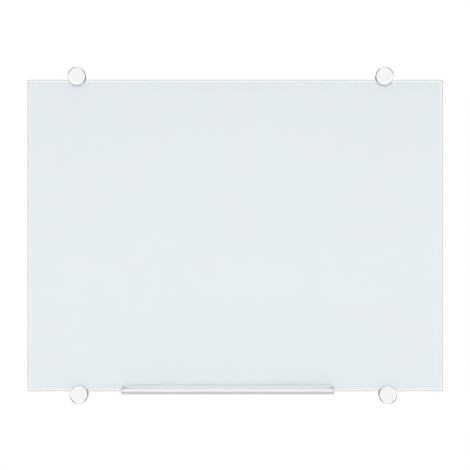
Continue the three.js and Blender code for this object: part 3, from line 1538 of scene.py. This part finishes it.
@dataclass
class PenTray:
    """The pen tray: extruded section, two moulded end caps and two ribbed grips.

    Depths are distances in front of the wall, and heights are above the lower edge of the glass.

    Attributes:
        finishes: Materials of the object.
        extrusion: Tree that sweeps the tray's section.
        strip: Tree that makes the grips.
        floor_radius: Radius of the trough's underside.
        lip_foot: Height where the trough's underside meets the lip.
        lip_height: Height of the lip.
        lip_thickness: Thickness of the lip.
        rear_leg_height: Height of the leg behind the glass.
        web_gap: Gap between the glass's lower edge and the web under it.
        inner_fillet: Rounding inside the trough.
        end_rounding: Rounding round the outer face of an end cap.
        end_corner: Rounding of an end cap's front upper corner.
        tongue_depth: How far an end cap's tongue reaches into the trough.
        tongue_wall: Thickness of the tongue.
        tongue_clearance: Gap between the tongue and the trough.
        tongue_root: How far the tongue starts inside the end cap's plate.
        outer_easing: Rounding of the section's heel and of the lip's foot.
        web_easing: Rounding in the slot that takes the glass.
        end_easing: Rounding of an end cap's rear upper corner.
        ribs: Number of ribs on a grip.
        rib_height: Height of the ribs.
        rib_root: How far a rib is sunk into its strip.
        rib_shares: Where a rib starts to rise, is up, starts to fall and is down, in its pitch.
        arc_steps: Steps along the trough's arc.
        top_steps: Steps round the top of a leg or the lip.
        edge_steps: Steps round the edge of an end cap's outer face.
        easing_steps: Steps in each eased corner of the section.
        plate_steps: Steps in each rounded corner of an end cap's plate.
    """

    finishes: Finishes
    extrusion: ExtrudedSection
    strip: RibbedStrip
    floor_radius: float = 62 * MM
    lip_foot: float = 3.5 * MM
    lip_height: float = 7 * MM
    lip_thickness: float = 1.8 * MM
    rear_leg_height: float = 8 * MM
    web_gap: float = 0.3 * MM
    inner_fillet: float = 0.9 * MM
    end_rounding: float = 1.3 * MM
    end_corner: float = 1.2 * MM
    tongue_depth: float = 5 * MM
    tongue_wall: float = 1.2 * MM
    tongue_clearance: float = 0.3 * MM
    tongue_root: float = 0.3 * MM
    outer_easing: float = 0.45 * MM
    web_easing: float = 0.3 * MM
    end_easing: float = 0.6 * MM
    ribs: int = 6
    rib_height: float = 0.25 * MM
    rib_root: float = 0.1 * MM
    rib_shares: tuple[float, float, float, float] = (0.2, 0.4, 0.7, 0.9)
    arc_steps: int = 24
    top_steps: int = 12
    edge_steps: int = 6
    easing_steps: int = 4
    plate_steps: int = 6

    def __post_init__(self) -> None:
        """Read the section's depths and heights from the frame."""
        profile = Box.of("pen_tray")
        cap = Box.of("pen_tray_left_end_cap")
        front_grip = Box.of("pen_tray_front_grip")
        rear_grip = Box.of("pen_tray_rear_grip")
        self.edge = Box.of("glass_panel").low.z
        self.rear_back = profile.back
        self.rear_front = rear_grip.back
        self.wall = self.rear_front - self.rear_back
        self.leg_back = front_grip.front
        self.leg_front = self.leg_back + self.wall
        self.lip_front = profile.front
        self.lip_back = self.lip_front - self.lip_thickness
        self.leg_top = cap.high.z - self.edge
        self.web_top = -self.web_gap
        self.web_under = self.web_top - self.wall
        self.centre = self.trough_centre()

    def trough_centre(self) -> Point:
        """Find the centre of the trough's underside arc, which joins the web to the foot of the lip.

        Returns:
            Its depth and height.
        """
        du = self.lip_front - self.leg_front
        dv = self.lip_foot - self.web_under
        chord = math.hypot(du, dv)
        rise = math.sqrt(self.floor_radius**2 - (chord / 2) ** 2)
        return (self.leg_front + du / 2 - dv / chord * rise, self.web_under + dv / 2 + du / chord * rise)

    def trough_arc(self, radius: float, start: float, end: float) -> list[Point]:
        """Points along the trough at a radius, from one depth to another."""
        angles = [-math.acos((depth - self.centre[0]) / radius) for depth in (start, end)]
        return arc(self.centre, radius, *angles, self.arc_steps)

    def in_place(self, outline: Sequence[Point]) -> list[Point]:
        """Turn depths and heights into Y and Z."""
        return [(-depth, self.edge + height) for depth, height in outline]

    def section(self) -> list[Point]:
        """Draw the outline of the extrusion: rear leg, web, curved floor, lip and front leg.

        Returns:
            Its depths and heights, in order.
        """
        lip = (self.lip_front - self.lip_back) / 2
        leg = self.wall / 2
        outer = self.trough_arc(self.floor_radius, self.leg_front, self.lip_front)
        inner = self.trough_arc(self.floor_radius - self.wall, self.lip_back, self.leg_front)
        corners = [(self.rear_back, self.web_under, self.outer_easing)]
        corners += [*sharp(outer[:-1]), (*outer[-1], self.outer_easing)]
        corners += sharp(self.half_round(self.lip_back, self.lip_height, lip))
        corners += [(*inner[0], self.inner_fillet), *sharp(inner[1:-1]), (*inner[-1], self.inner_fillet)]
        corners += sharp(self.half_round(self.leg_back, self.leg_top, leg))
        corners.append((self.leg_back, self.web_top, self.web_easing))
        corners.append((self.rear_front, self.web_top, self.web_easing))
        corners += sharp(self.half_round(self.rear_back, self.rear_leg_height, leg))
        return rounded(corners, self.easing_steps)

    def half_round(self, back: float, top: float, radius: float) -> list[Point]:
        """Points round the top of a leg or the lip, from its front to its back."""
        return arc((back + radius, top - radius), radius, 0.0, math.pi, self.top_steps)

    def profile(self) -> None:
        """The extruded tray itself."""
        box = Box.of("pen_tray")
        mesh = self.extrusion.extruded(
            "extruded_tray",
            self.in_place(self.section()),
            (box.low.x, box.high.x),
            self.finishes.aluminium,
        )
        add_piece("extruded_tray", mesh, self.finishes.aluminium, "tray", "pen_tray")

    def end_plate(self) -> list[Point]:
        """Draw the outline of an end cap's plate.

        Returns:
            Its depths and heights, counterclockwise with the depth to the right.
        """
        corners = [(self.leg_back, self.web_under, 0.0)]
        corners += sharp(self.trough_arc(self.floor_radius, self.leg_front, self.lip_front))
        corners.append((self.lip_front, self.lip_height, self.end_corner))
        corners.append((self.leg_front, self.leg_top, self.end_easing))
        corners.append((self.leg_back, self.leg_top, 0.0))
        return rounded(corners, self.plate_steps)

    def tongue(self) -> list[Point]:
        """Draw the outline of the curved tongue that lies on the trough's floor.

        Returns:
            Its depths and heights, in order.
        """
        outer = self.floor_radius - self.wall - self.tongue_clearance
        back = self.leg_front + self.inner_fillet + self.tongue_clearance
        front = self.lip_back - self.inner_fillet - self.tongue_clearance
        return self.trough_arc(outer, back, front) + self.trough_arc(
            outer - self.tongue_wall, front, back
        )

    def end_cap(self, side: Side) -> None:
        """One end cap: a plate with a softly rounded outer face, and its tongue.

        Args:
            side: End of the tray that it closes.
        """
        name = f"moulded_{side.name.lower()}_end_cap"
        node = f"pen_tray_{side.name.lower()}_end_cap"
        box = Box.of(node)
        profile = Box.of("pen_tray")
        outer, inner = ((box.low.x, profile.low.x) if side is Side.LEFT else (box.high.x, profile.high.x))
        plate = self.end_plate()
        layers = [(self.in_place(plate), inner)]
        for i in range(self.edge_steps + 1):
            angle = QUARTER_TURN * i / self.edge_steps
            shrink = self.end_rounding * (1 - math.cos(angle))
            drop = self.end_rounding * (1 - math.sin(angle))
            layers.append((self.in_place(inset(plate, shrink)), outer - side.value * drop))
        tongue = self.in_place(self.tongue())
        root = inner + side.value * self.tongue_root
        tip = inner - side.value * self.tongue_depth
        mesh = combined(
            stacked(name, layers, "X"),
            stacked("tongue", [(tongue, root), (tongue, tip)], "X"),
            "UNION",
            "MANIFOLD",
        )
        mesh.materials.clear()
        add_piece(name, mesh, self.finishes.abs, "tray", node)

    def grip(self, name: str, node: str, glass_side: float) -> None:
        """One grip strip, with its ribs against the panel.

        Args:
            name: Name of the piece.
            node: CAD node that it stands for.
            glass_side: Direction along Y in which the panel lies.
        """
        box = Box.of(node)
        flat, crest = ((box.low.y, box.high.y) if glass_side > 0 else (box.high.y, box.low.y))
        valley = crest - glass_side * self.rib_height
        inside = valley - glass_side * self.rib_root
        pitch = (box.high.z - box.low.z) / self.ribs
        rise, up, fall, down = (box.low.z + share * pitch for share in self.rib_shares)
        rib = [(inside, rise), (valley, rise), (crest, up), (crest, fall), (valley, down), (inside, down)]
        mesh = self.strip.extruded(
            name,
            rib,
            (box.low.x, box.high.x),
            self.finishes.rubber,
            {
                "Ribs": self.ribs,
                # The row runs along -X, which the sweep turns to Z.
                "Rib Step": (-pitch, 0.0, 0.0),
                "Strip Size": (box.high.x - box.low.x, abs(valley - flat), box.high.z - box.low.z),
                "Strip Middle": (box.centre.x, (flat + valley) / 2, box.centre.z),
            },
        )
        add_piece(name, mesh, self.finishes.rubber, "tray", node)

    def build(self) -> None:
        """Build and dress the tray."""
        self.profile()
        for side in Side:
            self.end_cap(side)
        self.grip("ribbed_front_grip", "pen_tray_front_grip", 1.0)
        self.grip("ribbed_rear_grip", "pen_tray_rear_grip", -1.0)


@dataclass(frozen=True)
class Softbox:
    """A rectangular area lamp that faces the middle of the board.

    Attributes:
        name: Name of the lamp.
        azimuth: Degrees to the right of the board's front.
        elevation: Degrees above the board's middle.
        distance: Distance from the board.
        size: Width and height.
        radiance: Brightness of its face, where one is white.
        mirrored: Whether glossy surfaces mirror it.
    """

    name: str
    azimuth: float
    elevation: float
    distance: float
    size: Point
    radiance: float
    mirrored: bool = True

    def build(self) -> None:
        """Hang the lamp."""
        turn, rise = math.radians(self.azimuth), math.radians(self.elevation)
        towards = Vector(
            (math.sin(turn) * math.cos(rise), -math.cos(turn) * math.cos(rise), math.sin(rise))
        )
        lamp = bpy.data.lights.new(self.name, "AREA")
        lamp.shape = "RECTANGLE"
        lamp.size, lamp.size_y = self.size
        lamp.energy = LAMP_WATTS * self.size[0] * self.size[1] * self.radiance
        thing = add_object(self.name, lamp)
        thing.location = towards * self.distance
        thing.rotation_euler = towards.to_track_quat("Z", "Y").to_euler()
        thing.visible_camera = False
        thing.visible_glossy = self.mirrored


@dataclass(frozen=True)
class Studio:
    """Pale floor, white surroundings, soft lamps, grey cards and the camera.

    Attributes:
        ambient: Level of the even light from all sides.
        floor_drop: Distance of the floor below the middle of the board.
        floor_depth: How far the floor reaches behind the board, which keeps it out of the front view.
        floor_reach: How far the floor reaches to the other sides.
        floor_colour: Colour of the floor.
        floor_fade: Distances from the board between which the floor fades to white.
        floor_haze: Share of white in the floor next to the board, as the camera sees it.
        lens: Focal length of the camera, in millimetres.
        sensor: Width of its sensor, in millimetres.
        camera_distance: Distance of the camera from the front of the glass.
        camera_offset: Place of the camera to the right of the board's middle, and above it.
        flag_tones: Brightness of the cards where they are darkest and lightest.
        flag_radius: Distance of the tube from the line through the board's middle.
        flag_reach: Where the tube begins and ends along Y.
        flag_wave: Share of the wave round that line where the tube is darkest, and where it is lightest.
        flag_waves: Waves round that line, one for each side of the board.
        flag_steps: Steps round the tube and the disc.
        disc_distance: Distance of the card straight behind the board.
        disc_height: Height of its middle.
        disc_fade: Distances from its middle where it is darkest, and where it is white and ends.
    """

    ambient: float = 0.3
    floor_drop: float = 0.75
    floor_depth: float = 2.8
    floor_reach: float = 6.0
    floor_colour: str = "#DCDCDB"
    floor_fade: Point = (1.0, 2.0)
    floor_haze: float = 0.3
    lens: float = 127.3
    sensor: float = 36.0
    camera_distance: float = 2.4
    camera_offset: Point = (-0.29 * MM, 0.72 * MM)
    flag_tones: Point = (0.05, 0.66)
    flag_radius: float = 3.0
    flag_reach: Point = (-0.3, 4.0)
    flag_wave: Point = (-0.6, 1.0)
    flag_waves: float = 4.0
    flag_steps: int = 64
    disc_distance: float = 2.5
    disc_height: float = -0.2
    disc_fade: Point = (0.4, 1.7)

    def world(self) -> None:
        """White for what is seen, mirrored or seen through glass, and the ambient level for light."""
        world = bpy.data.worlds.new("white_studio")
        bpy.context.scene.world = world
        world.use_nodes = True
        tree = world.node_tree
        tree.nodes.clear()
        ray = add_node(tree, "ShaderNodeLightPath").outputs
        seen = add_node(
            tree,
            "ShaderNodeMath",
            {0: ray["Is Camera Ray"], 1: ray["Is Glossy Ray"]},
            operation="MAXIMUM",
        )
        white = add_node(
            tree,
            "ShaderNodeMath",
            {0: seen.outputs["Value"], 1: ray["Is Transmission Ray"]},
            operation="MAXIMUM",
        )
        level = add_node(
            tree,
            "ShaderNodeMapRange",
            {"Value": white.outputs["Value"], "To Min": self.ambient, "To Max": 1.0},
        )
        light = add_node(
            tree, "ShaderNodeBackground", {"Color": WHITE, "Strength": level.outputs["Result"]}
        )
        add_node(tree, "ShaderNodeOutputWorld", {"Surface": light.outputs["Background"]})

    def floor(self) -> None:
        """Pale matt floor that takes the shadow and fades into the white surroundings.

        It can be looked through from underneath, so that it hides nothing of the board there.
        """
        material, tree = new_material("pale_floor")
        place = add_node(tree, "ShaderNodeTexCoord").outputs["Object"]
        distance = add_node(tree, "ShaderNodeVectorMath", {0: place}, operation="LENGTH").outputs["Value"]
        far = add_node(
            tree,
            "ShaderNodeMapRange",
            {
                "Value": distance,
                "From Min": self.floor_fade[0],
                "From Max": self.floor_fade[1],
                "To Min": self.floor_haze,
            },
            interpolation_type="SMOOTHSTEP",
        )
        ray = add_node(tree, "ShaderNodeLightPath").outputs
        fade = add_node(
            tree,
            "ShaderNodeMath",
            {0: far.outputs["Result"], 1: ray["Is Camera Ray"]},
            operation="MULTIPLY",
        )
        paper = add_node(tree, "ShaderNodeBsdfDiffuse", {"Color": linear_colour(self.floor_colour)})
        white = add_node(tree, "ShaderNodeEmission", {"Color": WHITE})
        surface = add_node(
            tree,
            "ShaderNodeMixShader",
            {0: fade.outputs["Value"], 1: paper.outputs["BSDF"], 2: white.outputs["Emission"]},
        )
        under = add_node(
            tree,
            "ShaderNodeMath",
            {0: add_node(tree, "ShaderNodeNewGeometry").outputs["Backfacing"], 1: ray["Is Camera Ray"]},
            operation="MULTIPLY",
        )
        open_below = add_node(
            tree,
            "ShaderNodeMixShader",
            {
                0: under.outputs["Value"],
                1: surface.outputs["Shader"],
                2: add_node(tree, "ShaderNodeBsdfTransparent").outputs["BSDF"],
            },
        )
        add_node(tree, "ShaderNodeOutputMaterial", {"Surface": open_below.outputs["Shader"]})
        mesh = bpy.data.meshes.new("floor")
        reach, back, drop = self.floor_reach, self.floor_depth, -self.floor_drop
        corners = [(-reach, -reach), (reach, -reach), (reach, back), (-reach, back)]
        mesh.from_pydata([(x, y, drop) for x, y in corners], [], [(0, 1, 2, 3)])
        mesh.materials.append(material)
        floor = add_object("floor", mesh)
        floor.visible_glossy = False

    def lamps(self) -> None:
        """Five soft lamps, and three that polished faces don't mirror.

        The strip hangs close in front of the tray, so the board grows a little lighter downwards.
        """
        for lamp in (
            Softbox("front_softbox", 0, 12, 8.0, (3.2, 3.2), 5.9, mirrored=False),
            Softbox("low_strip", 0, -10.4, 0.834, (2.4, 0.25), 1.2, mirrored=False),
            Softbox("left_softbox", -50, -12, 2.2, (1.2, 2.2), 0.25),
            Softbox("right_softbox", 50, -12, 2.2, (1.2, 2.2), 0.2),
            Softbox("top_softbox", 0, 50, 2.2, (2.2, 1.2), 0.085),
            Softbox("low_softbox", 0, -50, 2.2, (2.2, 1.2), 0.4),
            Softbox("overhead_softbox", 0, 90, 2.6, (3.0, 3.0), 0.6, mirrored=False),
            Softbox("back_softbox", 180, 15, 3.0, (1.6, 1.6), 4.5),
        ):
            lamp.build()

    def flags(self) -> None:
        """Grey cards round and behind the board, which draw the dark outline in its polished rims."""
        self.flag_tube()
        self.flag_disc()

    def flag_tube(self) -> None:
        """Hang the card that goes round the board.

        It is darkest halfway between the board's four sides and lightest towards them.
        """
        material, tree = new_material("flag_tube")
        place = add_node(tree, "ShaderNodeTexCoord").outputs["Object"]
        beside = add_node(tree, "ShaderNodeSeparateXYZ", {"Vector": place}).outputs
        angle = add_node(tree, "ShaderNodeMath", {0: beside["Z"], 1: beside["X"]}, operation="ARCTAN2")
        turned_by = add_node(
            tree, "ShaderNodeMath", {0: angle.outputs["Value"], 1: self.flag_waves}, operation="MULTIPLY"
        )
        wave = add_node(tree, "ShaderNodeMath", {0: turned_by.outputs["Value"]}, operation="COSINE")
        self.tone_card(tree, wave.outputs["Value"], self.flag_wave, self.flag_tones)
        near, far = self.flag_reach
        steps = self.flag_steps
        rim = arc((0.0, 0.0), self.flag_radius, 0.0, FULL_TURN, steps)[:-1]
        corners = [(x, near, z) for x, z in rim] + [(x, far, z) for x, z in rim]
        faces = [(k, (k + 1) % steps, steps + (k + 1) % steps, steps + k) for k in range(steps)]
        self.hang_flag("flag_tube", corners, faces, material)

    def flag_disc(self) -> None:
        """Hang the card straight behind the board, which fades to white outwards."""
        material, tree = new_material("flag_disc")
        place = add_node(tree, "ShaderNodeTexCoord").outputs["Object"]
        beside = add_node(
            tree,
            "ShaderNodeVectorMath",
            {0: place, 1: (0.0, self.disc_distance, self.disc_height)},
            operation="DISTANCE",
        )
        self.tone_card(tree, beside.outputs["Value"], self.disc_fade, (self.flag_tones[0], 1.0))
        middle = (0.0, self.disc_height)
        rim = arc(middle, self.disc_fade[1], 0.0, FULL_TURN, self.flag_steps)[:-1]
        corners = [(x, self.disc_distance, z) for x, z in rim]
        self.hang_flag("flag_disc", corners, [tuple(range(self.flag_steps))], material)

    def tone_card(
        self, tree: bpy.types.NodeTree, share: bpy.types.NodeSocket, span: Point, tones: Point
    ) -> None:
        """Give a card its tone, which goes smoothly from one to the other as the share crosses the span.

        Args:
            tree: Node tree of the card's material.
            share: Value that picks the tone.
            span: Values between which the tone changes.
            tones: Brightness at those two values.
        """
        tone = add_node(
            tree,
            "ShaderNodeMapRange",
            {
                "Value": share,
                "From Min": span[0],
                "From Max": span[1],
                "To Min": tones[0],
                "To Max": tones[1],
            },
            interpolation_type="SMOOTHSTEP",
        )
        glow = add_node(tree, "ShaderNodeEmission", {"Color": WHITE, "Strength": tone.outputs["Result"]})
        add_node(tree, "ShaderNodeOutputMaterial", {"Surface": glow.outputs["Emission"]})

    def hang_flag(
        self,
        name: str,
        corners: Sequence[Triple],
        faces: Sequence[tuple[int, ...]],
        material: bpy.types.Material,
    ) -> None:
        """Hang one card that only mirrored rays see, so it takes no light away.

        Args:
            name: Name of the card.
            corners: Its corners.
            faces: For each face, the numbers of its corners.
            material: Material that gives its tone.
        """
        mesh = bpy.data.meshes.new(name)
        mesh.from_pydata(corners, [], faces)
        mesh.materials.append(material)
        card = add_object(name, mesh)
        card.visible_camera = False
        card.visible_diffuse = False
        card.visible_shadow = False
        card.visible_transmission = False

    def camera(self) -> None:
        """Camera straight in front of the board, within a millimetre of its middle."""
        data = bpy.data.cameras.new("camera")
        data.lens = self.lens
        data.sensor_width = self.sensor
        camera = add_object("camera", data)
        right, up = self.camera_offset
        glass_front = Box.of("glass_panel").low.y
        camera.location = (right, glass_front - self.camera_distance, up)
        camera.rotation_euler = (QUARTER_TURN, 0.0, 0.0)
        bpy.context.scene.camera = camera

    def build(self) -> None:
        """Set the studio up."""
        self.camera()
        self.world()
        self.floor()
        self.lamps()
        self.flags()
        bpy.context.scene.view_settings.view_transform = "Standard"


def main() -> None:
    """Build the studio, then the board from the wall outwards."""
    logging.basicConfig(level=logging.INFO, format="%(name)s: %(message)s")
    Studio().build()
    finishes = Finishes()
    Panel(finishes).build()
    rod = ThreadedRod()
    for place in Place:
        Holder(place, finishes, rod).build()
    PenTray(finishes, ExtrudedSection(), RibbedStrip()).build()


if __name__ == "__main__":
    main()
